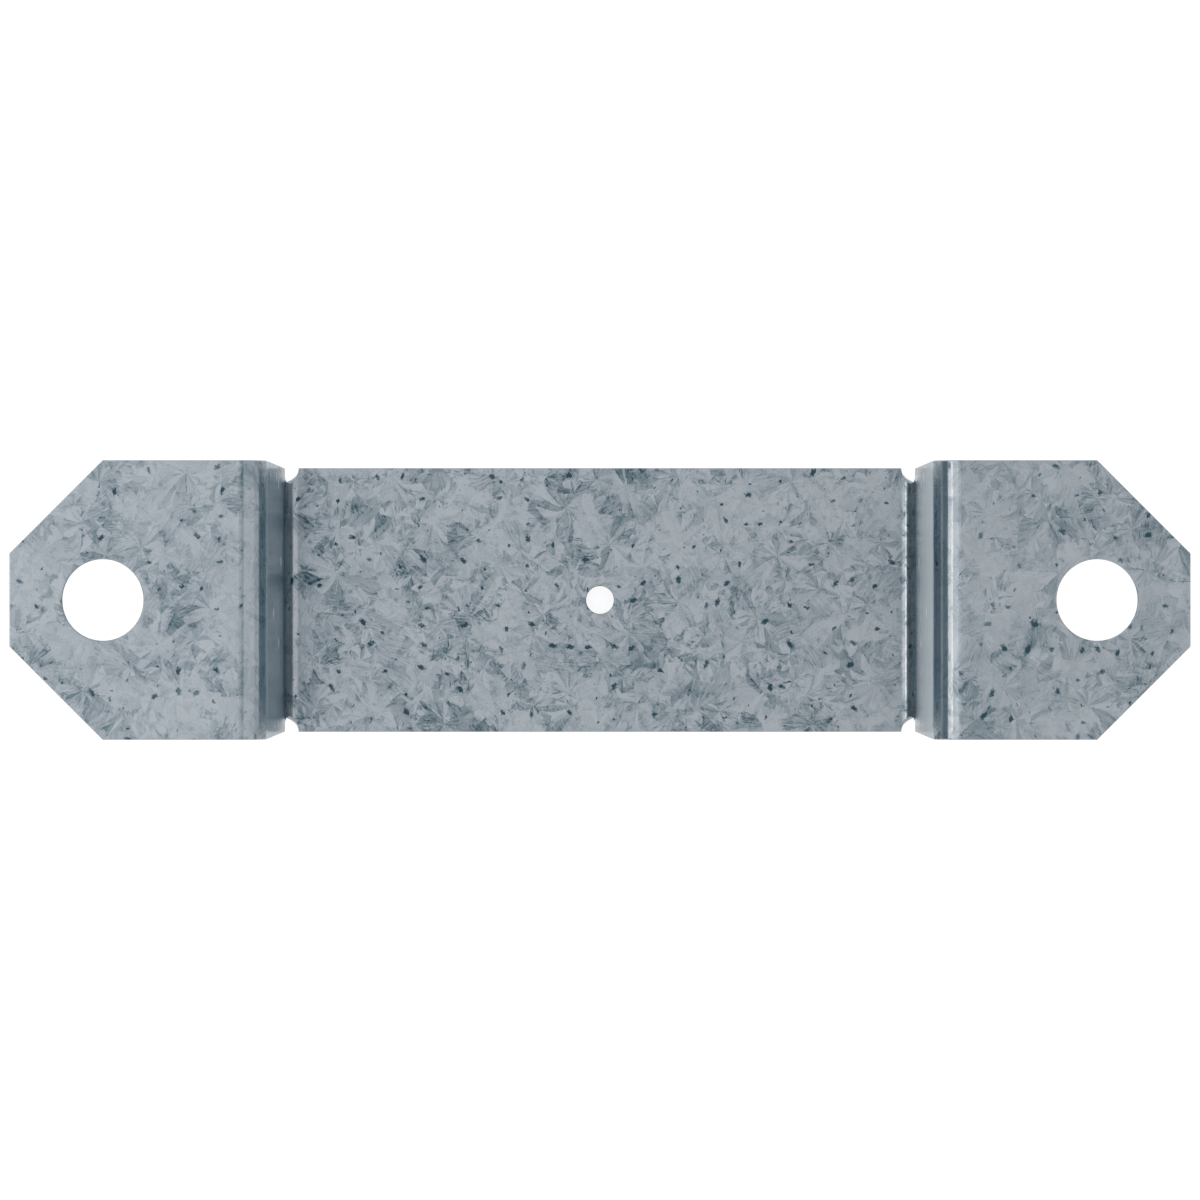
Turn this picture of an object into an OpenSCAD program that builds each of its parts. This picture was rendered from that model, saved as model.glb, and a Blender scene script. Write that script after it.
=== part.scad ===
// Deck post tie: one strip of galvanised sheet steel, punched flat and folded four times.
// The deep channel holds a square post, and the two flanges bolt to the framing beside it.
// It lies on the back of the channel, open upwards. X runs along the strip, Y across it.

/* [Strip] */
// Width of the strip
strap_w = 38.1; // [30:0.1:60]
// Thickness of the galvanised sheet
sheet_t = 1.9; // [1.2:0.1:3.2]
// Inside radius of each fold
fold_r = 1.9; // [0.8:0.1:3]
// Neutral line's depth in a fold, as a share of the thickness from the inside
neutral_share = 0.4; // [0.3:0.01:0.5]
// Break on every sheared or punched edge
edge_break = 0.15; // [0.05:0.05:0.3]

/* [Post channel] */
// Clear width between the channel's walls
channel_w = 90.9; // [50:0.1:160]
// Depth from the flanges' bolting faces to the channel's inner face
channel_d = 88.9; // [25:0.1:160]

/* [Bolt flanges] */
// From a wall's inner face to the middle of the bolt hole
bolt_offset = 22.3; // [15:0.1:60]
// From the middle of the bolt hole to the end of the flange
bolt_end = 12.7; // [9:0.1:30]
// Legs of the square cut on each end corner
corner_cut = 12.7; // [2:0.1:16]
// Diameter of the bolt holes
bolt_hole_d = 11.1; // [6:0.1:14]

/* [Nail hole] */
// Diameter of the nail hole in the middle of the back
nail_hole_d = 4; // [2.5:0.1:8]

/* [Fold relief] */
// Radius of the round punch that notches both ends of each back fold
notch_r = 2.1; // [1:0.1:4]

/* [Hidden] */
$fn = 96;

sheet_grey = [0.60, 0.64, 0.67];
// How far a cutting tool runs past what it cuts
overrun = 1;
// The inside face of each wall, and the upper face of the flanges
wall_x = channel_w / 2;
top_z = sheet_t + channel_d;
// Where the straight stretches meet the folds
back_end_x = wall_x - fold_r;
wall_foot_z = sheet_t + fold_r;
wall_head_z = top_z - sheet_t - fold_r;
flange_start_x = wall_x + sheet_t + fold_r;
bolt_x = wall_x + bolt_offset;
flange_end_x = bolt_x + bolt_end;
// Radius of the line in a fold that keeps its length
neutral_r = fold_r + neutral_share * sheet_t;
// Facets round a relief notch's punch
notch_sides = 36;

// The strip cut across: its thickness along X, its width along Y, with broken edges
module strip_section() {
    half = strap_w / 2;
    eb = edge_break;
    polygon([
        [0, eb - half], [eb, -half], [sheet_t - eb, -half], [sheet_t, eb - half],
        [sheet_t, half - eb], [sheet_t - eb, half], [eb, half], [0, half - eb]
    ]);
}

// A quarter turn of the strip about the Y axis, from a start angle in the XZ plane
module quarter_fold(start) {
    rotate([90, 0, 0])
        rotate([0, 0, start])
            rotate_extrude(angle = 90)
                translate([fold_r, 0])
                    strip_section();
}

// A level stretch of the strip from one X to another, with its upper face at a height
module level_run(from_x, to_x, upper_z) {
    translate([from_x, 0, upper_z])
        rotate([0, 90, 0])
            linear_extrude(to_x - from_x)
                strip_section();
}

// The wall of the channel on the +X side
module channel_wall() {
    translate([wall_x, 0, wall_foot_z])
        linear_extrude(wall_head_z - wall_foot_z)
            strip_section();
}

// Everything on the near side of one sheared edge. The edge lies at a reach from the
// bolt hole, facing an angle in plan, and both of its corners are broken.
module sheared_to(reach, facing) {
    eb = edge_break;
    far = -2 * flange_end_x;
    translate([bolt_x, 0, top_z - sheet_t])
        rotate([0, 0, facing])
            rotate([90, 0, 0])
                linear_extrude(4 * strap_w, center = true)
                    polygon([
                        [far, -overrun], [reach - eb - overrun, -overrun],
                        [reach, eb], [reach, sheet_t - eb],
                        [reach - eb - overrun, sheet_t + overrun], [far, sheet_t + overrun]
                    ]);
}

// The flange on the +X side, with its end and corners sheared off
module bolt_flange() {
    corner_reach = (bolt_end + strap_w / 2 - corner_cut) / sqrt(2);
    intersection() {
        level_run(flange_start_x, flange_end_x + overrun, top_z);
        sheared_to(bolt_end, 0);
        sheared_to(corner_reach, 45);
        sheared_to(corner_reach, -45);
    }
}

// What a round punch takes out of a level sheet, with both mouths broken.
// It stands on the sheet's lower face, on the Z axis.
module round_punch(d) {
    r = d / 2;
    eb = edge_break;
    rotate_extrude()
        polygon([
            [0, -overrun], [r + eb + overrun, -overrun], [r, eb],
            [r, sheet_t - eb], [r + eb + overrun, sheet_t + overrun], [0, sheet_t + overrun]
        ]);
}

// A point of the sheet as it lies in the back fold on the +X side: s runs along the
// neutral line from the middle of the fold, v is across the strip, h is the depth
// from the inside face.
function in_fold(s, v, h) =
    let (
        quarter = neutral_r * PI / 4,
        along = max(abs(s) - quarter, 0),
        a = -45 + max(min(s, quarter), -quarter) / neutral_r * 180 / PI,
        way = s < 0 ? [-1, 0] : [0, 1],
        spot = [back_end_x, wall_foot_z] + (fold_r + h) * [cos(a), sin(a)] + along * way
    )
    [spot.x, v, spot.y];

// Radius and depth of each ring of the notch punch, from inside the fold outwards
notch_rings = [
    [notch_r + 2 * edge_break, -fold_r / 2],
    [notch_r + 2 * edge_break, -edge_break],
    [notch_r, edge_break],
    [notch_r, sheet_t - edge_break],
    [notch_r + 2 * edge_break, sheet_t + edge_break],
    [notch_r + 2 * edge_break, 2 * (fold_r + sheet_t)]
];

// The round punch at the strip's +Y edge, folded with the sheet that it went through
module relief_notch() {
    n = notch_sides;
    last = len(notch_rings) - 1;
    edge_v = strap_w / 2;
    rings = [
        for (ring = notch_rings, i = [0 : n - 1])
            in_fold(ring[0] * cos(360 * i / n), edge_v + ring[0] * sin(360 * i / n), ring[1])
    ];
    ends = [
        in_fold(0, edge_v, notch_rings[0][1]),
        in_fold(0, edge_v, notch_rings[last][1])
    ];
    sides = [
        for (k = [0 : last - 1], i = [0 : n - 1])
            let (j = (i + 1) % n, a = k * n, b = (k + 1) * n)
                each [[a + i, b + j, b + i], [a + i, a + j, b + j]]
    ];
    caps = [
        for (i = [0 : n - 1])
            let (j = (i + 1) % n, a = last * n)
                each [[len(rings), j, i], [len(rings) + 1, a + i, a + j]]
    ];
    polyhedron(points = concat(rings, ends), faces = concat(sides, caps));
}

// The part of the strip on the +X side of the back
module folded_side() {
    translate([back_end_x, 0, wall_foot_z]) quarter_fold(-90);
    channel_wall();
    translate([flange_start_x, 0, wall_head_z]) quarter_fold(90);
    bolt_flange();
}

module folded_strap() {
    color(sheet_grey)
        difference() {
            union() {
                level_run(-back_end_x, back_end_x, sheet_t);
                for (side = [0, 1]) mirror([side, 0, 0]) folded_side();
            }
            round_punch(nail_hole_d);
            for (side = [0, 1])
                mirror([side, 0, 0]) {
                    translate([bolt_x, 0, top_z - sheet_t]) round_punch(bolt_hole_d);
                    for (end = [0, 1]) mirror([0, end, 0]) relief_notch();
                }
        }
}

folded_strap();
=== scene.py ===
import math

import bpy
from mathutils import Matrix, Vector
from mathutils.geometry import delaunay_2d_cdt


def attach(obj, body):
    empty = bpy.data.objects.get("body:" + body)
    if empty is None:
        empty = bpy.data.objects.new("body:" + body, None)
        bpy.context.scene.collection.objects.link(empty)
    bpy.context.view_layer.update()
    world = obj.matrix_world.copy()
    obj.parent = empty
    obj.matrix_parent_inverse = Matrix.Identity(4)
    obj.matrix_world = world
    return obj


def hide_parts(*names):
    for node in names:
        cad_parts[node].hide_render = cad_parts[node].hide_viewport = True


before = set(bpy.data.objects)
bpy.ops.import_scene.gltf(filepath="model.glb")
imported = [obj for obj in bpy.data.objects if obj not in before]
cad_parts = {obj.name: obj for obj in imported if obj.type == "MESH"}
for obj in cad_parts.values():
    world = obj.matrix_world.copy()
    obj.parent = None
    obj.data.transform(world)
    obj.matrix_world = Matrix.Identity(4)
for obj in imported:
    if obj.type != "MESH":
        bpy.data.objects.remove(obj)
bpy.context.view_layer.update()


# The strap's own sizes in millimetres, as the solid has them
SHEET = 1.9
HALF_W = 19.05
FOLD_R = 1.9
WALL_X = 45.45
TOP_Z = 90.8
BOLT_OFFSET = 22.3
BOLT_END = 12.7
CORNER = 12.7
BOLT_R = 5.55
NAIL_R = 2.0
NOTCH_R = 2.1
EDGE = 0.15
NEUTRAL_SHARE = 0.4
BACK_END = WALL_X - FOLD_R
WALL_FOOT = SHEET + FOLD_R
WALL_HEAD = TOP_Z - SHEET - FOLD_R
FLANGE_START = WALL_X + SHEET + FOLD_R
BOLT_X = WALL_X + BOLT_OFFSET
MM_PER_M = 1000.0

# The same stretches on the flat strip, from its middle along the neutral line
NEUTRAL_R = FOLD_R + NEUTRAL_SHARE * SHEET
FOLD_RUN = NEUTRAL_R * math.pi / 2
WALL_START = BACK_END + FOLD_RUN
WALL_STOP = WALL_START + WALL_HEAD - WALL_FOOT
FLANGE_RUN = WALL_STOP + FOLD_RUN
BOLT_RUN = FLANGE_RUN + BOLT_X - FLANGE_START
STRIP_END = BOLT_RUN + BOLT_END

# How finely the curves are cut: a notch's half circle, a fold, a hole and a broken edge
NOTCH_STEPS = 36
FOLD_STEPS = 24
HOLE_STEPS = 120
EDGE_STEPS = 4

# Two sides of an outline that turn by less than this share their normals
SMOOTH_COS = math.cos(math.radians(30))
# How the triangulation treats what it is given: it keeps what is inside, and joins points this close
KEEP_INSIDE = 1
JOIN_WITHIN = 1e-6


# The folded sheet, with the solid's form and its normals exact in the folds
def bent(run, depth):
    """A point of the flat strip once folded: its x and z, the strip's heading there, and its stretch."""
    away = abs(run)
    turn, stretch = 0.0, 1.0
    if away <= BACK_END:
        x, z = away, SHEET - depth
    elif away < WALL_START:
        turn = (away - BACK_END) / NEUTRAL_R
        r = FOLD_R + depth
        x, z = BACK_END + r * math.sin(turn), WALL_FOOT - r * math.cos(turn)
        stretch = r / NEUTRAL_R
    elif away <= WALL_STOP:
        turn = math.pi / 2
        x, z = WALL_X + depth, WALL_FOOT + away - WALL_START
    elif away < FLANGE_RUN:
        turn = (FLANGE_RUN - away) / NEUTRAL_R
        r = FOLD_R + SHEET - depth
        x, z = FLANGE_START - r * math.sin(turn), WALL_HEAD + r * math.cos(turn)
        stretch = r / NEUTRAL_R
    else:
        x, z = FLANGE_START + away - FLANGE_RUN, TOP_Z - depth
    side = -1.0 if run < 0 else 1.0
    return side * x, z, (math.cos(turn), side * math.sin(turn)), stretch


def folded_normal(run, depth, way, lean):
    """The normal at a point of the strip once folded. It leans from the upper face, at 0, through the
    way out of the flat strip to the lower face, at half a turn."""
    _, _, (hx, hz), stretch = bent(run, depth)
    out = Vector((way.x / stretch * hx, way.y, way.x / stretch * hz)).normalized()
    return math.sin(lean) * out + math.cos(lean) * Vector((-hz, 0.0, hx))


def strip_outline():
    """The flat strip's outline, turning left, with the back folds' notches punched out of it."""
    notch_mid = (BACK_END + WALL_START) / 2
    notch = [math.pi * i / NOTCH_STEPS for i in range(NOTCH_STEPS + 1)]
    quarter = [(notch_mid - NOTCH_R * math.cos(a), NOTCH_R * math.sin(a)) for a in notch]
    quarter += [(WALL_STOP + FOLD_RUN * i / FOLD_STEPS, 0.0) for i in range(FOLD_STEPS + 1)]
    quarter += [(STRIP_END - CORNER, 0.0), (STRIP_END, CORNER)]
    lower = [(-run, rise - HALF_W) for run, rise in reversed(quarter)]
    lower += [(run, rise - HALF_W) for run, rise in quarter]
    upper = [(run, -v) for run, v in reversed(lower)]
    return lower + upper


def hole_outline(run, radius):
    """A round hole's outline, turning right, so that the sheet lies on its left as well."""
    turns = [-2 * math.pi * i / HOLE_STEPS for i in range(HOLE_STEPS)]
    return [(run + radius * math.cos(a), radius * math.sin(a)) for a in turns]


def side_normals(outline):
    """For each side of an outline, from one corner to the next, the way out of the sheet."""
    out = []
    for (r0, v0), (r1, v1) in zip(outline, outline[1:] + outline[:1]):
        out.append(Vector((v1 - v0, r0 - r1)).normalized())
    return out


def inset(outline, distance):
    """The outline moved into the sheet by a distance."""
    ways = side_normals(outline)
    out = []
    for i, corner in enumerate(outline):
        before, after = ways[i - 1], ways[i]
        out.append(Vector(corner) - distance * (before + after) / (1.0 + before.dot(after)))
    return out


def edge_rings():
    """The rings of points round every edge, from the upper face to the lower one: the inset of each,
    its depth in the sheet, and how far its normal leans."""
    rings = []
    for step in range(EDGE_STEPS + 1):
        lean = math.pi / 2 * step / EDGE_STEPS
        rings.append((EDGE * (1 - math.sin(lean)), EDGE * (1 - math.cos(lean)), lean))
    return rings + [(space, SHEET - depth, math.pi - lean) for space, depth, lean in reversed(rings)]


def edge_strip(outline, start, rings):
    """The sheared or punched edge along an outline: its faces, and the normals at their corners.
    The outline's first point has the number start."""
    count = len(outline)
    ways = side_normals(outline)
    loops = [inset(outline, space) for space, _, _ in rings]
    faces, normals = [], []
    for i in range(count):
        after = (i + 1) % count
        # a side's normal at each end, shared with the next side where the outline runs on smoothly
        ends = []
        for other in (ways[i - 1], ways[after]):
            shared = (ways[i] + other).normalized()
            ends.append(shared if ways[i].dot(other) > SMOOTH_COS else ways[i])
        for ring in range(len(rings) - 1):
            here = start + ring * count
            there = here + count
            faces.append((there + i, there + after, here + after, here + i))
            for row, corner, way in ((ring + 1, i, ends[0]), (ring + 1, after, ends[1]),
                                     (ring, after, ends[1]), (ring, i, ends[0])):
                _, depth, lean = rings[row]
                normals.append(folded_normal(loops[row][corner].x, depth, way, lean))
    return faces, normals


def flat_faces(outlines, starts, rings):
    """The strip's upper and lower faces, with the normals at their corners. Both share one
    triangulation, ruled across the strip along its folds."""
    flat, owners, borders = [], [], []
    for outline, start in zip(outlines, starts):
        count = len(outline)
        borders.append(range(len(flat), len(flat) + count))
        flat += inset(outline, EDGE)
        owners += [(start + i, start + (len(rings) - 1) * count + i) for i in range(count)]
    # a ruling joins each point to the one across the strip, apart from the two at each cropped corner
    last = len(outlines[0]) - 1
    rulings = [(i, last - i) for i in range(2, (last + 1) // 2 - 2)]
    _, _, triangles, origins, _, _ = delaunay_2d_cdt(
        flat, rulings, [list(border) for border in borders], KEEP_INSIDE, JOIN_WITHIN)
    across = Vector((0.0, 0.0))
    faces, normals = [], []
    for triangle in triangles:
        corners = [origins[i][0] for i in triangle]
        if any(all(i in hole for i in corners) for hole in borders[1:]):
            continue
        for side, depth, lean in ((0, 0.0, 0.0), (1, SHEET, math.pi)):
            order = corners if side == 0 else corners[::-1]
            faces.append(tuple(owners[i][side] for i in order))
            normals += [folded_normal(flat[i].x, depth, across, lean) for i in order]
    return faces, normals


def folded_sheet():
    """The whole strap as one mesh: both faces, and the sheared and punched edges between them."""
    outlines = [strip_outline(), hole_outline(0.0, NAIL_R),
                hole_outline(-BOLT_RUN, BOLT_R), hole_outline(BOLT_RUN, BOLT_R)]
    rings = edge_rings()
    places, starts = [], []
    for outline in outlines:
        starts.append(len(places))
        for space, depth, _ in rings:
            for run, v in inset(outline, space):
                x, z, _, _ = bent(run, depth)
                places.append((x / MM_PER_M, v / MM_PER_M, z / MM_PER_M))

    parts = [edge_strip(outline, start, rings) for outline, start in zip(outlines, starts)]
    parts.append(flat_faces(outlines, starts, rings))
    faces = [face for some_faces, _ in parts for face in some_faces]
    normals = [normal for _, some_normals in parts for normal in some_normals]

    mesh = bpy.data.meshes.new("folded_sheet")
    mesh.from_pydata(places, [], faces)
    mesh.polygons.foreach_set("use_smooth", [True] * len(faces))
    mesh.normals_split_custom_set(normals)
    piece = bpy.data.objects.new("folded_sheet", mesh)
    bpy.context.scene.collection.objects.link(piece)
    return piece


strap = folded_sheet()
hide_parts("folded_strap")
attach(strap, "root")


# Node helpers
class Nodes:
    """Builds a shader's node tree with short calls. A value is a socket, a number or, for a vector or
    a colour, a tuple."""

    def __init__(self, owner):
        owner.use_nodes = True
        self.tree = owner.node_tree
        self.tree.nodes.clear()

    def new(self, kind):
        return self.tree.nodes.new(kind)

    def put(self, value, socket):
        if isinstance(value, bpy.types.NodeSocket):
            self.tree.links.new(value, socket)
        else:
            socket.default_value = value

    def math(self, op, a, b=0.0):
        n = self.new("ShaderNodeMath")
        n.operation = op
        self.put(a, n.inputs[0])
        self.put(b, n.inputs[1])
        return n.outputs[0]

    def add(self, *values):
        total = values[0]
        for v in values[1:]:
            total = self.math("ADD", total, v)
        return total

    def mul(self, *values):
        total = values[0]
        for v in values[1:]:
            total = self.math("MULTIPLY", total, v)
        return total

    def unsigned(self, value):
        """A number without its sign."""
        return self.math("ABSOLUTE", value)

    def centred(self, value):
        """A value of 0 to 1, moved to lie from -0.5 to 0.5."""
        return self.math("SUBTRACT", value, 0.5)

    def length(self, x, y, stretch=1.0):
        """The length of a flat vector, whose second part counts more with a stretch."""
        return self.math("SQRT", self.add(self.mul(x, x), self.mul(y, y, stretch)))

    def ramp(self, value, low, high, out_low=0.0, out_high=1.0):
        """A smooth step from one value to another."""
        n = self.new("ShaderNodeMapRange")
        n.interpolation_type = "SMOOTHSTEP"
        for name, v in (("Value", value), ("From Min", low), ("From Max", high),
                        ("To Min", out_low), ("To Max", out_high)):
            self.put(v, n.inputs[name])
        return n.outputs["Result"]

    def fade(self, value, low, high):
        """A smooth step down from 1 to 0."""
        return self.ramp(value, low, high, 1.0, 0.0)

    def mix(self, share, a, b):
        """A mix of two numbers: the first at a share of 0, and the second at 1."""
        n = self.new("ShaderNodeMix")
        n.data_type = "FLOAT"
        self.put(share, n.inputs[0])
        self.put(a, n.inputs[2])
        self.put(b, n.inputs[3])
        return n.outputs[0]

    def blend(self, share, a, b):
        """A mix of two colours: the first at a share of 0, and the second at 1."""
        n = self.new("ShaderNodeMix")
        n.data_type = "RGBA"
        self.put(share, n.inputs[0])
        for value, socket in ((a, n.inputs[6]), (b, n.inputs[7])):
            self.put((*value, 1.0) if isinstance(value, tuple) else value, socket)
        return n.outputs[2]

    def vector(self, x=0.0, y=0.0, z=0.0):
        n = self.new("ShaderNodeCombineXYZ")
        for i, v in enumerate((x, y, z)):
            self.put(v, n.inputs[i])
        return n.outputs[0]

    def parts(self, vector):
        n = self.new("ShaderNodeSeparateXYZ")
        self.put(vector, n.inputs[0])
        return n.outputs[0], n.outputs[1], n.outputs[2]

    def scaled(self, x, y, x_scale, y_scale):
        """A flat vector, with each part times its own factor."""
        return self.vector(self.mul(x, x_scale), self.mul(y, y_scale))

    def vmath(self, op, a, b=(0.0, 0.0, 0.0), scale=1.0):
        n = self.new("ShaderNodeVectorMath")
        n.operation = op
        self.put(a, n.inputs[0])
        if op == "SCALE":
            self.put(scale, n.inputs["Scale"])
        else:
            self.put(b, n.inputs[1])
        return n.outputs[0]

    def vdot(self, a, b):
        n = self.new("ShaderNodeVectorMath")
        n.operation = "DOT_PRODUCT"
        self.put(a, n.inputs[0])
        self.put(b, n.inputs[1])
        return n.outputs["Value"]

    def noise(self, vector, scale, detail=2.0, rough=0.5, colour=False):
        n = self.new("ShaderNodeTexNoise")
        n.noise_dimensions = "2D"
        self.put(vector, n.inputs["Vector"])
        n.inputs["Scale"].default_value = scale
        n.inputs["Detail"].default_value = detail
        n.inputs["Roughness"].default_value = rough
        return n.outputs["Color" if colour else "Fac"]

    def voronoi(self, vector, size=1.0):
        """A 2-D Voronoi texture with cells of a size. Gives its node, whose outputs are picked by name."""
        n = self.new("ShaderNodeTexVoronoi")
        n.voronoi_dimensions = "2D"
        self.put(vector, n.inputs["Vector"])
        n.inputs["Scale"].default_value = 1 / size
        return n

    def turned(self, vector, angle):
        n = self.new("ShaderNodeVectorRotate")
        n.rotation_type = "Z_AXIS"
        self.put(vector, n.inputs["Vector"])
        self.put(angle, n.inputs["Angle"])
        return n.outputs[0]

    def wobbled(self, vector, scale, reach, detail):
        """The vector moved about by noise, by up to half the reach each way."""
        noise = self.noise(vector, scale, detail, colour=True)
        shift = self.vmath("SUBTRACT", noise, (0.5, 0.5, 0.5))
        return self.vmath("ADD", vector, self.vmath("SCALE", shift, scale=reach))

    def colours(self, value, stops):
        n = self.new("ShaderNodeValToRGB")
        ramp = n.color_ramp
        while len(ramp.elements) < len(stops):
            ramp.elements.new(0.5)
        for element, (at, colour) in zip(ramp.elements, stops):
            element.position = at
            element.color = (*colour, 1.0)
        self.put(value, n.inputs[0])
        return n.outputs[0]

    def finish(self, kind, shader):
        """Joins the last shader to the tree's output."""
        self.put(shader.outputs[0], self.new(kind).inputs["Surface"])


def linear(r, g, b):
    """A display colour of 0 to 255 as linear values."""
    out = []
    for v in (r, g, b):
        v /= 255.0
        out.append(v / 12.92 if v <= 0.04045 else ((v + 0.055) / 1.055) ** 2.4)
    return tuple(out)


# Places on the sheet, in millimetres, where a pair is the start and the end of a smooth step: into a
# fold from its border, up from a wall's foot, up to its head, and behind its inner face
FOLD_FADE = (-0.4, 0.3)
WALL_FROM = (2.4, 4.6)
WALL_TO = (85.5, 88.0)
WALL_SKIN = (0.25, 0.75)
# How level the sheet's face lies, from 0 on the walls to 1 on the flats: in the steep part of a fold,
# and on the rubbed back of an upper one
STEEP_LEVEL = (0.62, 0.76)
RUBBED_FROM = (0.50, 0.70)
RUBBED_TO = (0.985, 0.999)
# How nearly a point's normal lies along the face's: not on a sheared edge, partly on its break
EDGE_FLUSH = (0.35, 0.60)
BREAK_FROM = (0.30, 0.55)
BREAK_TO = (0.90, 0.99)
# Moves the pattern of the far face, so that it isn't the near one's
FAR_FACE_SHIFT = 431.0


def sheet_places(k):
    """Where a point lies on the sheet, in mm: its place on the flat pattern, and how far it is on a
    sheared edge, on an edge's break, on a channel wall's inner face, on the rubbed back of an upper
    fold and in the steep part of a fold."""
    coord = k.new("ShaderNodeTexCoord")
    x, y, z = k.parts(k.vmath("SCALE", coord.outputs["Object"], scale=MM_PER_M))
    nx, ny, nz = k.parts(coord.outputs["Normal"])
    away = k.unsigned(x)
    side = k.math("SIGN", x)
    upper = k.math("GREATER_THAN", z, TOP_Z / 2)
    # along the strip: across the back, up the wall, and out along the flange
    climb = k.math("MAXIMUM", k.math("SUBTRACT", z, SHEET), 0.0)
    along = k.add(x, k.mul(side, climb))
    # the sheet's own normal, level or upright on the flats and turning in the folds
    low_a = k.math("MAXIMUM", k.math("SUBTRACT", away, BACK_END), 0.0)
    low_z = k.math("MINIMUM", k.math("SUBTRACT", z, WALL_FOOT), 0.0)
    high_a = k.math("MINIMUM", k.math("SUBTRACT", away, FLANGE_START), 0.0)
    high_z = k.math("MAXIMUM", k.math("SUBTRACT", z, WALL_HEAD), 0.0)
    face = k.vmath("NORMALIZE", k.vector(k.mix(upper, low_a, k.mul(high_a, -1.0)), 0.0,
                                         k.mix(upper, low_z, k.mul(high_z, -1.0))))
    level = k.unsigned(k.parts(face)[2])
    start, stop = FOLD_FADE
    folding = k.math("MAXIMUM", k.ramp(z, WALL_HEAD + start, WALL_HEAD + stop),
                     k.fade(z, WALL_FOOT - stop, WALL_FOOT - start))
    facing = k.vdot(face, k.vector(k.mul(nx, side), ny, nz))
    flush = k.unsigned(facing)
    outer = k.math("GREATER_THAN", facing, 0.0)
    inner_skin = k.fade(away, WALL_X + WALL_SKIN[0], WALL_X + WALL_SKIN[1])
    return {
        "x": x,
        "y": y,
        "z": z,
        "away": away,
        "flat": k.vector(k.add(along, k.mul(outer, FAR_FACE_SHIFT)), y, 0.0),
        "edge": k.fade(flush, *EDGE_FLUSH),
        "edge_break": k.mul(k.ramp(flush, *BREAK_FROM), k.fade(flush, *BREAK_TO)),
        "wall": k.mul(k.ramp(z, *WALL_FROM), k.fade(z, *WALL_TO), inner_skin),
        "rubbed": k.mul(upper, k.ramp(level, *RUBBED_FROM), k.fade(level, *RUBBED_TO)),
        "steep": k.mul(folding, k.fade(level, *STEEP_LEVEL)),
    }


# The zinc's marks. Sizes are in mm on the flat pattern, a grain is in waves or cells each mm, and a
# noise is its grain, its detail and its roughness. A pick is the smooth step in a random value, or in
# a noise, above which a mark is there, and a rim is the one over which it ends.
FEATHERY = (1.0, 2.0, 0.6)
STREAKY = (1.0, 1.0, 0.7)
# Crystals that fan out from a nucleus: their size, and the wedges in each radian round them
BIG_FANS = (7.0, 3.2)
SMALL_FANS = (3.4, 1.9)
SMALL_FANS_SHIFT = (91.0, 37.0, 0.0)
SMALL_GRAIN = 0.20
SMALL_PICK = (0.50, 0.53)
# How the wedges curl, in radians each mm, and how many wedges and needles there are on the way out
CURL = 0.12
WEDGES_OUT = 1.4
NEEDLES_EACH = 3.2
NEEDLES_OUT = 1.6
# Moves the pattern of each crystal, so that no two are alike
WEDGE_SHIFT = 40.0
NEEDLE_SHIFT = 60.0
# How the needles and the seams between wedges change the tone, and how far both push borders
NEEDLE_TONE = 0.9
SEAM_RIM = (0.45, 0.85)
SEAM_TONE = -0.35
PUSH_REACH = 0.22
NEEDLE_PUSH = 0.8
# How the borders wobble: the noise's grain, its reach in mm and its detail
SLOW_WOBBLE = (0.22, 1.3, 0.0)
QUICK_WOBBLE = (1.6, 0.22, 1.0)
TORN_WOBBLE = (2.8, 0.5, 1.0)
# Plates, of which some are smooth and some furry
PLATE_SIZE = 3.6
SMOOTH_PICK = (0.60, 0.63)
FURRY_PICK = (0.72, 0.74)
# Chips, in patches that gather
CHIP_SIZE = 0.42
PALEST_CHIP = 0.25
GATHER_NOISE = (0.55, 3.0, 0.6)
GATHER_PICK = (0.54, 0.65)
# Strokes and hairs: their grain along and across their heading, and which strokes show
STROKE_GRAIN = (0.7, 3.4)
STROKE_PICK = (0.84, 0.90)
STROKE_RIM = (0.15, 0.5)
HAIR_GRAIN = (0.5, 4.2)
# Blots: how far apart and how slim they are, the step from small to large ones, how they gather
# in broad patches and in lively places, and which show
BLOT_SPACING = 3.1
BLOT_SLIMNESS = 3.0
BLOT_SIZES = (0.2, 1.0, 0.16, 0.60)
BLOT_GATHER = 0.9
BLOT_LIVELY = 0.30
BLOT_PICK = (0.72, 0.78)
BLOT_RIM = (0.5, 1.35)
# Broad and fine mottling
BROAD_NOISE = (0.10, 1.0, 0.6)
FINE_NOISE = (4.6, 1.0, 0.8)
# The zinc's plain tone, and how each kind of mark changes it
BASE_TONE = 0.81
FAN_TONE = 0.44
SMOOTH_FAN_TONE = 0.18
PLATE_TONE = 0.10
SMOOTH_TONE = 0.05
FURRY_TONE = -0.14
FURRY_HAIR_TONE = 0.45
HAIR_TONE = 0.18
BROAD_TONE = 0.20
FINE_TONE = 0.28
PATCH_TONE = -0.20
STROKE_TONE = -0.26
SMOOTH_STROKE_TONE = -0.08
BLOT_TONE = -0.70
# Its roughness, and how the marks change that
BASE_ROUGH = 0.13
PATCH_ROUGH = 0.08
BLOT_ROUGH = 0.10
HAIR_ROUGH = -0.05


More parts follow.
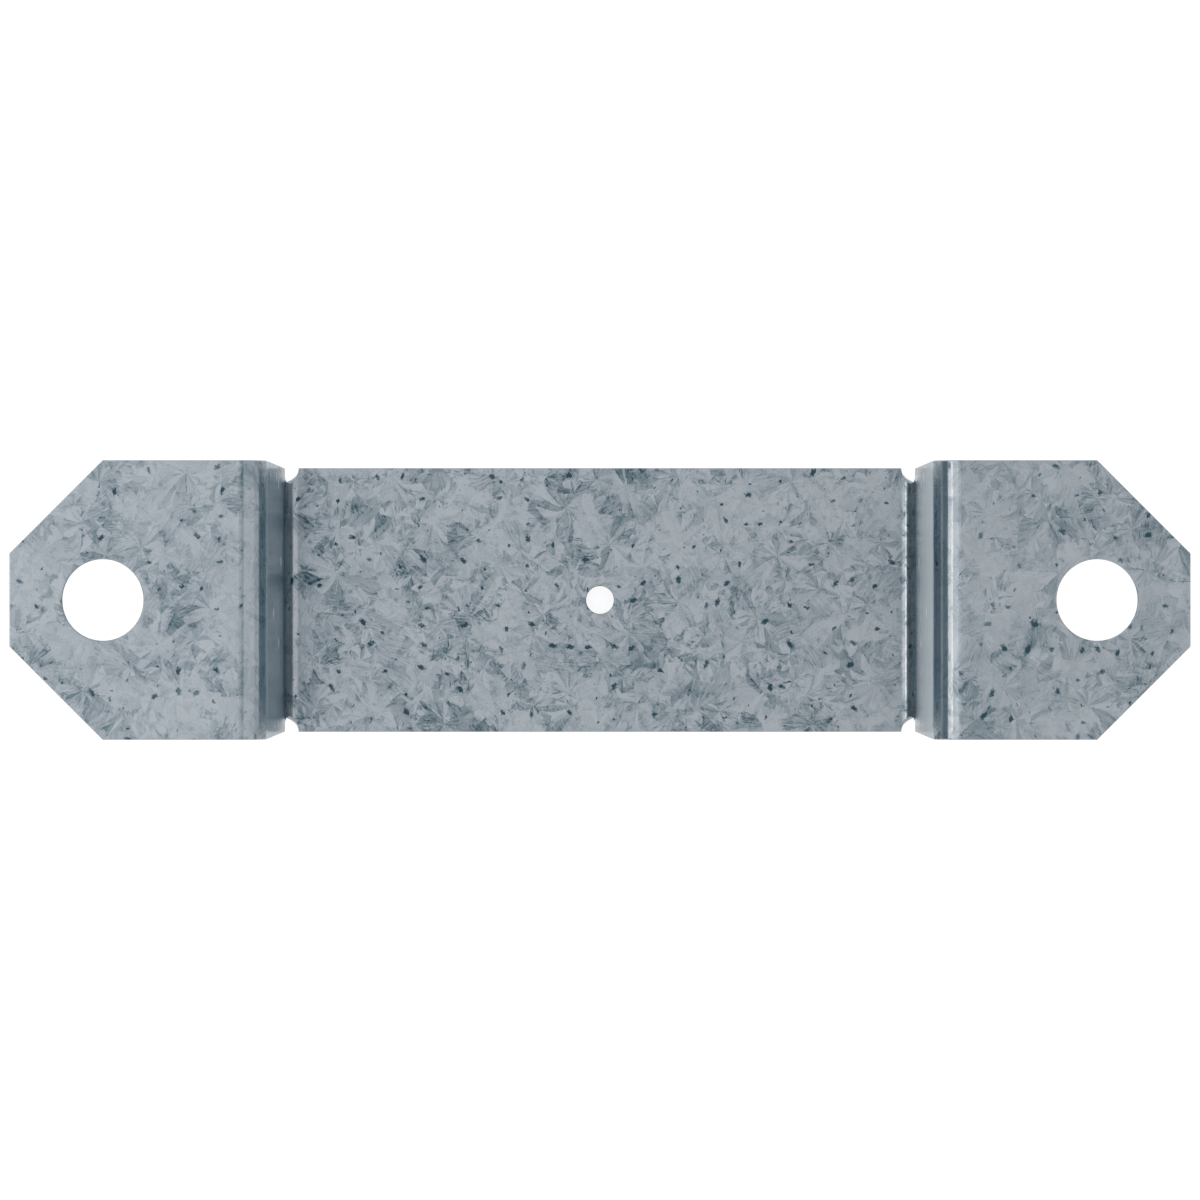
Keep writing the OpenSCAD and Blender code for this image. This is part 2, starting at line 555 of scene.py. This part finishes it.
def fans(k, coords, size, wedges):
    """Crystals that fan out from their nuclei. Gives the wedges' tone, from about -0.9 to 0.9, and a push
    along each wedge in mm, which feathers the borders of other marks."""
    grain = k.voronoi(coords, size)
    gr, gg, gb = k.parts(grain.outputs["Color"])
    spoke = k.vmath("SUBTRACT", coords, grain.outputs["Position"])
    lx, ly, _ = k.parts(spoke)
    reach = k.length(lx, ly)
    angle = k.add(k.math("ARCTAN2", ly, lx), k.mul(reach, k.centred(gb), CURL))
    wedge = k.voronoi(k.vector(k.add(k.mul(angle, wedges), k.mul(gr, WEDGE_SHIFT)),
                               k.add(k.mul(reach, WEDGES_OUT / size), k.mul(gg, WEDGE_SHIFT))))
    one, two, _ = k.parts(wedge.outputs["Color"])
    needles = k.vector(k.add(k.mul(angle, wedges * NEEDLES_EACH), k.mul(gg, NEEDLE_SHIFT)),
                       k.add(k.mul(reach, NEEDLES_OUT / size), k.mul(gr, NEEDLE_SHIFT)))
    needle = k.centred(k.noise(needles, *FEATHERY))
    seam = k.ramp(wedge.outputs["Distance"], *SEAM_RIM, 0.0, SEAM_TONE)
    tone = k.add(k.centred(one), k.mul(needle, NEEDLE_TONE), seam)
    shift = k.mul(k.add(k.centred(two), k.mul(needle, NEEDLE_PUSH)), size * PUSH_REACH)
    return tone, k.vmath("SCALE", k.vmath("NORMALIZE", spoke), scale=shift)


def blots(k, flat, broad, lively):
    """Dark blots, ragged, mostly long, and gathered here and there: 1 in a blot and 0 off it."""
    torn = k.wobbled(flat, *TORN_WOBBLE)
    spots = k.voronoi(torn, BLOT_SPACING)
    pick, bulk, heading = k.parts(spots.outputs["Color"])
    off = k.vmath("SUBTRACT", torn, spots.outputs["Position"])
    px, py, _ = k.parts(k.turned(off, k.mul(heading, math.pi)))
    near = k.math("DIVIDE", k.length(px, py, BLOT_SLIMNESS), k.ramp(bulk, *BLOT_SIZES))
    chosen = k.ramp(k.add(pick, k.mul(broad, BLOT_GATHER), k.mul(lively, BLOT_LIVELY)), *BLOT_PICK)
    return k.mul(chosen, k.fade(near, *BLOT_RIM))


def spangle(k, flat, lively):
    """The zinc's crystals: their tone, of about 0 to 1, and their roughness. The livelier a place, from
    about 0.6 to 1.2, the more blots and contrast it has."""
    ragged = k.wobbled(k.wobbled(flat, *SLOW_WOBBLE), *QUICK_WOBBLE)
    big, big_push = fans(k, ragged, *BIG_FANS)
    small, small_push = fans(k, k.vmath("ADD", ragged, SMALL_FANS_SHIFT), *SMALL_FANS)
    # some places are broken up into small crystals
    small_here = k.ramp(k.noise(k.vmath("ADD", flat, big_push), SMALL_GRAIN), *SMALL_PICK)
    fan = k.mix(small_here, big, small)
    # angular plates with feathered borders, of which some are smooth and light and some dark and furry
    plate = k.voronoi(k.vmath("ADD", ragged, k.vmath("ADD", big_push, small_push)), PLATE_SIZE)
    shade, fur, heading = k.parts(plate.outputs["Color"])
    smooth = k.ramp(shade, *SMOOTH_PICK)
    furry = k.ramp(fur, *FURRY_PICK)
    # chips in dark patches, which gather here and there
    chip = k.parts(k.voronoi(ragged, CHIP_SIZE).outputs["Color"])[0]
    gather = k.ramp(k.noise(k.vmath("ADD", flat, small_push), *GATHER_NOISE), *GATHER_PICK)
    patch = k.mul(gather, k.ramp(chip, 0.0, 1.0, PALEST_CHIP, 1.0))
    # short dark strokes and fine hairs, lying along their plate's heading
    wx, wy, _ = k.parts(k.turned(ragged, k.mul(heading, math.pi)))
    bed = k.voronoi(k.scaled(wx, wy, *STROKE_GRAIN))
    picked = k.ramp(k.parts(bed.outputs["Color"])[0], *STROKE_PICK)
    stroke = k.mul(picked, k.fade(bed.outputs["Distance"], *STROKE_RIM))
    hair = k.centred(k.noise(k.scaled(wx, wy, *HAIR_GRAIN), *FEATHERY))
    broad = k.centred(k.noise(flat, *BROAD_NOISE))
    fine = k.centred(k.noise(flat, *FINE_NOISE))
    blot = blots(k, flat, broad, lively)
    tone = k.add(
        k.mul(fan, k.mix(smooth, FAN_TONE, SMOOTH_FAN_TONE)),
        k.mul(k.centred(shade), PLATE_TONE),
        k.mul(smooth, SMOOTH_TONE),
        k.mul(furry, k.add(FURRY_TONE, k.mul(hair, FURRY_HAIR_TONE))),
        k.mul(hair, HAIR_TONE),
        k.mul(broad, BROAD_TONE),
        k.mul(fine, FINE_TONE),
        k.mul(patch, PATCH_TONE),
        k.mul(stroke, k.mix(smooth, STROKE_TONE, SMOOTH_STROKE_TONE)),
        k.mul(blot, BLOT_TONE),
    )
    rough = k.add(BASE_ROUGH, k.mul(patch, PATCH_ROUGH), k.mul(blot, BLOT_ROUGH), k.mul(hair, HAIR_ROUGH))
    return k.add(BASE_TONE, k.mul(tone, lively)), rough


# The zinc's display colours, evenly from its darkest tone to its lightest
ZINC_COLOURS = ((46, 70, 83), (90, 109, 118), (126, 138, 146), (152, 160, 167), (169, 176, 182))
# The back is livelier than the rest, from just above it, and the rubbed folds are calmer
LIVELY_HEIGHT = (4.0, 6.0)
BACK_LIVELY = 1.2
REST_LIVELY = 0.96
RUBBED_CALM = -0.35
# Painted light and shade: the wall facing the key light is painted lighter, the other darker and bluer,
# and both are rougher than the flats
SHADED_WALL_TONE = -0.12
LIT_WALL_TONE = 0.16
SHADED_WALL_TINT = (0.68, 0.76, 0.80)
WALL_ROUGH = 0.03
# A fine darker line along the fold on the -X side: its distance from the middle, its half width, the
# height from which it shows, and its tone
CREASE_X = 48.71
CREASE_WIDE = (0.05, 0.30)
CREASE_HIGH = (90.0, 90.4)
CREASE_TONE = -0.28
# Shear marks across the sheet's thickness: their waves each mm, and the tone of the sheared edge
MARKS_ALONG = 6.0
MARKS_OUT = 0.3
EDGE_TONE = 0.30
MARKS_TONE = 0.50
EDGE_ROUGH = 0.22
# How much lighter an edge's break is
BREAK_TONE = 0.25
# A bluer tint painted on the steep part of the folds, where they lie in shade: painted shade colour, which
# fades towards the strip's sides
SHADE_BLUE_TINT = (1.0, 1.22, 1.30)
SHADE_BLUE_ENDS = (13.0, 18.0, 1.0, 0.1)
# How far the weathered zinc is bare metal, how the wall with painted light and an edge's break change
# that, and how strongly the rest mirrors
METAL_SHARE = 0.73
LIT_WALL_METAL = -0.12
BREAK_METAL = -0.3
SPECULAR = 0.2
# Painted reflection on the walls at a low angle: a tint for each wall, which strengthens with the height,
# the streaks across them, and the darker strip down each side
SHADED_WALL_GLANCE = (0.76, 1.0, 1.07)
LIT_WALL_GLANCE = (0.42, 0.44, 0.455)
GLANCE_CLIMB = (4.0, 80.0, 1.9, 2.5)
STREAK_GRAIN = (0.6, 0.03)
STREAK_REACH = 1.8
GLANCE_SIDES = (17.6, 18.2, 0.0, -1.5)
# Painted sheen on the wall that faces the key light, which grows with the height, and small painted glints
# on both walls
SHEEN_CLIMB = (4.0, 84.0, 0.0, 0.9)
SHEEN_ROUGH = 0.4
SHEEN_TINT = (0.92, 0.98, 1.0, 1.0)
GLINT_SPACING = 7.0
GLINT_LENGTHEN = 0.6
GLINT_PICK = (0.90, 0.92)
GLINT_RIM = (0.05, 0.16)
# The skin's fine unevenness: its noise, how strongly it shows, and its depth in metres
SKIN_NOISE = (1.7, 2.0, 0.6)
SKIN_STRENGTH = 0.2
SKIN_DEPTH = 0.00003


def zinc_colour(k, at, tone, lit_wall, shaded_wall):
    """The zinc's colour, with the crease, the shear marks, the painted light and shade on the walls and
    the bluish shade painted in the folds.
    """
    off_crease = k.unsigned(k.add(at["x"], CREASE_X))
    crease = k.mul(k.fade(off_crease, *CREASE_WIDE), k.ramp(at["z"], *CREASE_HIGH))
    tone = k.add(tone, k.mul(shaded_wall, SHADED_WALL_TONE), k.mul(lit_wall, LIT_WALL_TONE), k.mul(crease, CREASE_TONE))
    across = k.add(k.mul(at["x"], MARKS_ALONG), k.mul(at["y"], MARKS_ALONG))
    marks = k.noise(k.vector(across, k.mul(at["away"], MARKS_OUT)), *STREAKY)
    tone = k.mix(at["edge"], tone, k.add(EDGE_TONE, k.mul(marks, MARKS_TONE)))
    tone = k.add(tone, k.mul(at["edge_break"], BREAK_TONE))
    last = len(ZINC_COLOURS) - 1
    zinc = k.colours(tone, [(i / last, linear(*colour)) for i, colour in enumerate(ZINC_COLOURS)])
    # painted bluish shade on the steep part of the folds
    shade_blue = k.mul(at["steep"], k.ramp(k.unsigned(at["y"]), *SHADE_BLUE_ENDS))
    zinc = k.vmath("MULTIPLY", zinc, k.blend(shade_blue, (1.0, 1.0, 1.0), SHADE_BLUE_TINT))
    return k.vmath("MULTIPLY", zinc, k.blend(shaded_wall, (1.0, 1.0, 1.0), SHADED_WALL_TINT))


def low_angle_tint(k, at, zinc, lit_wall):
    """The tint of what is seen at a low angle, where a wall's zinc keeps more of its own colour: a painted
    reflection, with its own tint for the lit and the shaded wall, stronger towards the top.
    """
    streaks = k.noise(k.scaled(at["z"], at["y"], *STREAK_GRAIN), *STREAKY)
    keep = k.add(k.ramp(at["z"], *GLANCE_CLIMB), k.mul(k.centred(streaks), STREAK_REACH),
                 k.ramp(k.unsigned(at["y"]), *GLANCE_SIDES))
    teal = k.vmath("MULTIPLY", zinc, SHADED_WALL_GLANCE)
    glance = k.vmath("SCALE", k.blend(lit_wall, teal, LIT_WALL_GLANCE), scale=keep)
    return k.blend(at["wall"], (1.0, 1.0, 1.0), glance)


def painted_sheen(k, at, lit_wall):
    """How strong the painted sheen is: painted light on the wall that faces the key light, and small
    painted glints on both walls.
    """
    # small spots of painted glint on both walls
    glint_cells = k.voronoi(k.vector(k.mul(at["z"], GLINT_LENGTHEN), at["y"]), GLINT_SPACING)
    glints = k.mul(at["wall"], k.ramp(k.parts(glint_cells.outputs["Color"])[0], *GLINT_PICK),
                   k.fade(glint_cells.outputs["Distance"], *GLINT_RIM))
    return k.add(k.mul(lit_wall, k.ramp(at["z"], *SHEEN_CLIMB)), glints)


def uneven_skin(k, at):
    """The shader normal of the skin's fine unevenness."""
    bump = k.new("ShaderNodeBump")
    bump.inputs["Strength"].default_value = SKIN_STRENGTH
    bump.inputs["Distance"].default_value = SKIN_DEPTH
    k.put(k.noise(at["flat"], *SKIN_NOISE), bump.inputs["Height"])
    return bump.outputs[0]


def galvanised():
    """Hot-dip galvanised sheet, weathered, with a feathery spangle, and with light and shade painted on
    its walls and folds.
    """
    material = bpy.data.materials.new("galvanised_steel")
    k = Nodes(material)
    at = sheet_places(k)
    lively = k.ramp(at["z"], *LIVELY_HEIGHT, BACK_LIVELY, REST_LIVELY)
    lively = k.add(lively, k.mul(at["rubbed"], RUBBED_CALM))
    tone, rough = spangle(k, at["flat"], lively)
    # The wall facing the key light gets painted light, and the other wall painted shade
    lit_wall = k.mul(at["wall"], k.math("GREATER_THAN", at["x"], 0.0))
    shaded_wall = k.math("SUBTRACT", at["wall"], lit_wall)
    zinc = zinc_colour(k, at, tone, lit_wall, shaded_wall)
    shader = k.new("ShaderNodeBsdfPrincipled")
    shader.inputs["Specular IOR Level"].default_value = SPECULAR
    shader.inputs["Sheen Roughness"].default_value = SHEEN_ROUGH
    shader.inputs["Sheen Tint"].default_value = SHEEN_TINT
    for name, value in (
        ("Base Color", zinc),
        ("Metallic", k.add(METAL_SHARE, k.mul(lit_wall, LIT_WALL_METAL), k.mul(at["edge_break"], BREAK_METAL))),
        ("Roughness", k.add(rough, k.mul(at["wall"], WALL_ROUGH), k.mul(at["edge"], EDGE_ROUGH))),
        ("Specular Tint", low_angle_tint(k, at, zinc, lit_wall)),
        ("Sheen Weight", painted_sheen(k, at, lit_wall)),
        ("Normal", uneven_skin(k, at)),
    ):
        k.put(value, shader.inputs[name])
    k.finish("ShaderNodeOutputMaterial", shader)
    return material


strap.data.materials.append(galvanised())

# Floor and backdrop. The floor lies a hair below the back, and shows as white.
FLOOR_SIZE = 12.0
FLOOR_Z = -0.0004
PAPER_GRAIN = 60.0
PAPER_DARK = (0.53, 0.53, 0.53)
PAPER_LIGHT = (0.57, 0.57, 0.57)
PAPER_GLOW = 0.80


def seen_white(k):
    """1 for rays that only look, from the camera or off metal or glass, and 0 for rays that light."""
    path = k.new("ShaderNodeLightPath")
    looks = k.math("MAXIMUM", path.outputs["Is Camera Ray"], path.outputs["Is Glossy Ray"])
    return k.math("MAXIMUM", looks, path.outputs["Is Transmission Ray"])


def floor_material():
    material = bpy.data.materials.new("paper_white")
    k = Nodes(material)
    grain = k.noise(k.new("ShaderNodeTexCoord").outputs["Object"], PAPER_GRAIN, 1.0)
    paper = k.new("ShaderNodeBsdfDiffuse")
    k.put(k.colours(grain, [(0.0, PAPER_DARK), (1.0, PAPER_LIGHT)]), paper.inputs["Color"])
    glow = k.new("ShaderNodeEmission")
    k.put(k.mul(seen_white(k), PAPER_GLOW), glow.inputs["Strength"])
    both = k.new("ShaderNodeAddShader")
    k.put(paper.outputs[0], both.inputs[0])
    k.put(glow.outputs[0], both.inputs[1])
    k.finish("ShaderNodeOutputMaterial", both)
    return material


bpy.ops.mesh.primitive_plane_add(size=FLOOR_SIZE, location=(0.0, 0.0, FLOOR_Z))
floor = bpy.context.object
floor.name = "studio_floor"
floor.data.materials.append(floor_material())

# The room that metal mirrors. A dark screen stands on the key light's side. Each pair is a part of a
# direction: the screen ends above, weakens below, and ends to both sides and on the right.
SCREEN_TOP = (0.745, 0.80)
SCREEN_FOOT = (0.06, 0.20, 0.68, 1.0)
SCREEN_SIDES = (0.22, 0.38)
SCREEN_RIGHT = (-0.3, -0.1)
SCREEN_TEAL = (0.117, 0.209, 0.253)
# How bright the rest of the room is, from left to right, and the light that it gives
ROOM_FALL = (-0.06, 0.08, 1.26, 0.87)
COOL_AIR = (0.53, 0.56, 0.58)


def studio_world():
    """White to the eye, a room with a dark screen to metal, and plain cool light to all else."""
    world = bpy.data.worlds.new("studio")
    k = Nodes(world)
    background = k.new("ShaderNodeBackground")
    path = k.new("ShaderNodeLightPath")
    side_x, side_y, up = k.parts(k.new("ShaderNodeTexCoord").outputs["Generated"])
    screen = k.mul(k.fade(up, *SCREEN_TOP), k.ramp(up, *SCREEN_FOOT),
                   k.fade(k.unsigned(side_y), *SCREEN_SIDES), k.fade(side_x, *SCREEN_RIGHT))
    open_room = k.vmath("SCALE", k.vector(1.0, 1.0, 1.0), scale=k.ramp(side_x, *ROOM_FALL))
    room = k.blend(screen, open_room, SCREEN_TEAL)
    light = k.blend(path.outputs["Is Glossy Ray"], COOL_AIR, room)
    looks = k.math("MAXIMUM", path.outputs["Is Camera Ray"], path.outputs["Is Transmission Ray"])
    k.put(k.blend(looks, light, (1.0, 1.0, 1.0)), background.inputs["Color"])
    k.finish("ShaderNodeOutputWorld", background)
    return world


bpy.context.scene.world = studio_world()

# Lamps, all aimed at the origin: each one's name, place, size, power in watts and colour
WARM_WHITE = (1.0, 0.93, 0.86)
SOFT_WHITE = (1.0, 0.98, 0.96)
LAMPS = (
    ("key", (-0.985, 0.10, 1.12), (0.42, 0.52), 1.35, WARM_WHITE),
    ("key_top", (-0.54, 0.10, 1.43), (0.42, 0.70), 0.42, WARM_WHITE),
    ("fill", (0.84, -0.10, 1.24), (0.75, 1.6), 1.0, SOFT_WHITE),
)


def soft_light(name, place, size, watts, colour):
    data = bpy.data.lights.new(name, "AREA")
    data.color = colour
    data.shape = "RECTANGLE"
    data.size, data.size_y = size
    data.energy = watts
    lamp = bpy.data.objects.new(name, data)
    bpy.context.scene.collection.objects.link(lamp)
    lamp.location = place
    aim = -lamp.location
    lamp.rotation_euler = aim.to_track_quat("-Z", "Y").to_euler()


for lamp_values in LAMPS:
    soft_light(*lamp_values)

# Camera, which looks straight down: its height and its far limit in metres
CAMERA_Z = 1.5558
CLIP_END = 50.0
# Its film's width and its lens in millimetres
SENSOR_WIDTH = 36.0
LENS = 322.65
camera_data = bpy.data.cameras.new("camera")
camera = bpy.data.objects.new("camera", camera_data)
bpy.context.scene.collection.objects.link(camera)
camera.location = (0.0, 0.0, CAMERA_Z)
camera_data.sensor_width = SENSOR_WIDTH
camera_data.lens = LENS
camera_data.clip_end = CLIP_END
bpy.context.scene.camera = camera

bpy.context.scene.view_settings.view_transform = "Standard"
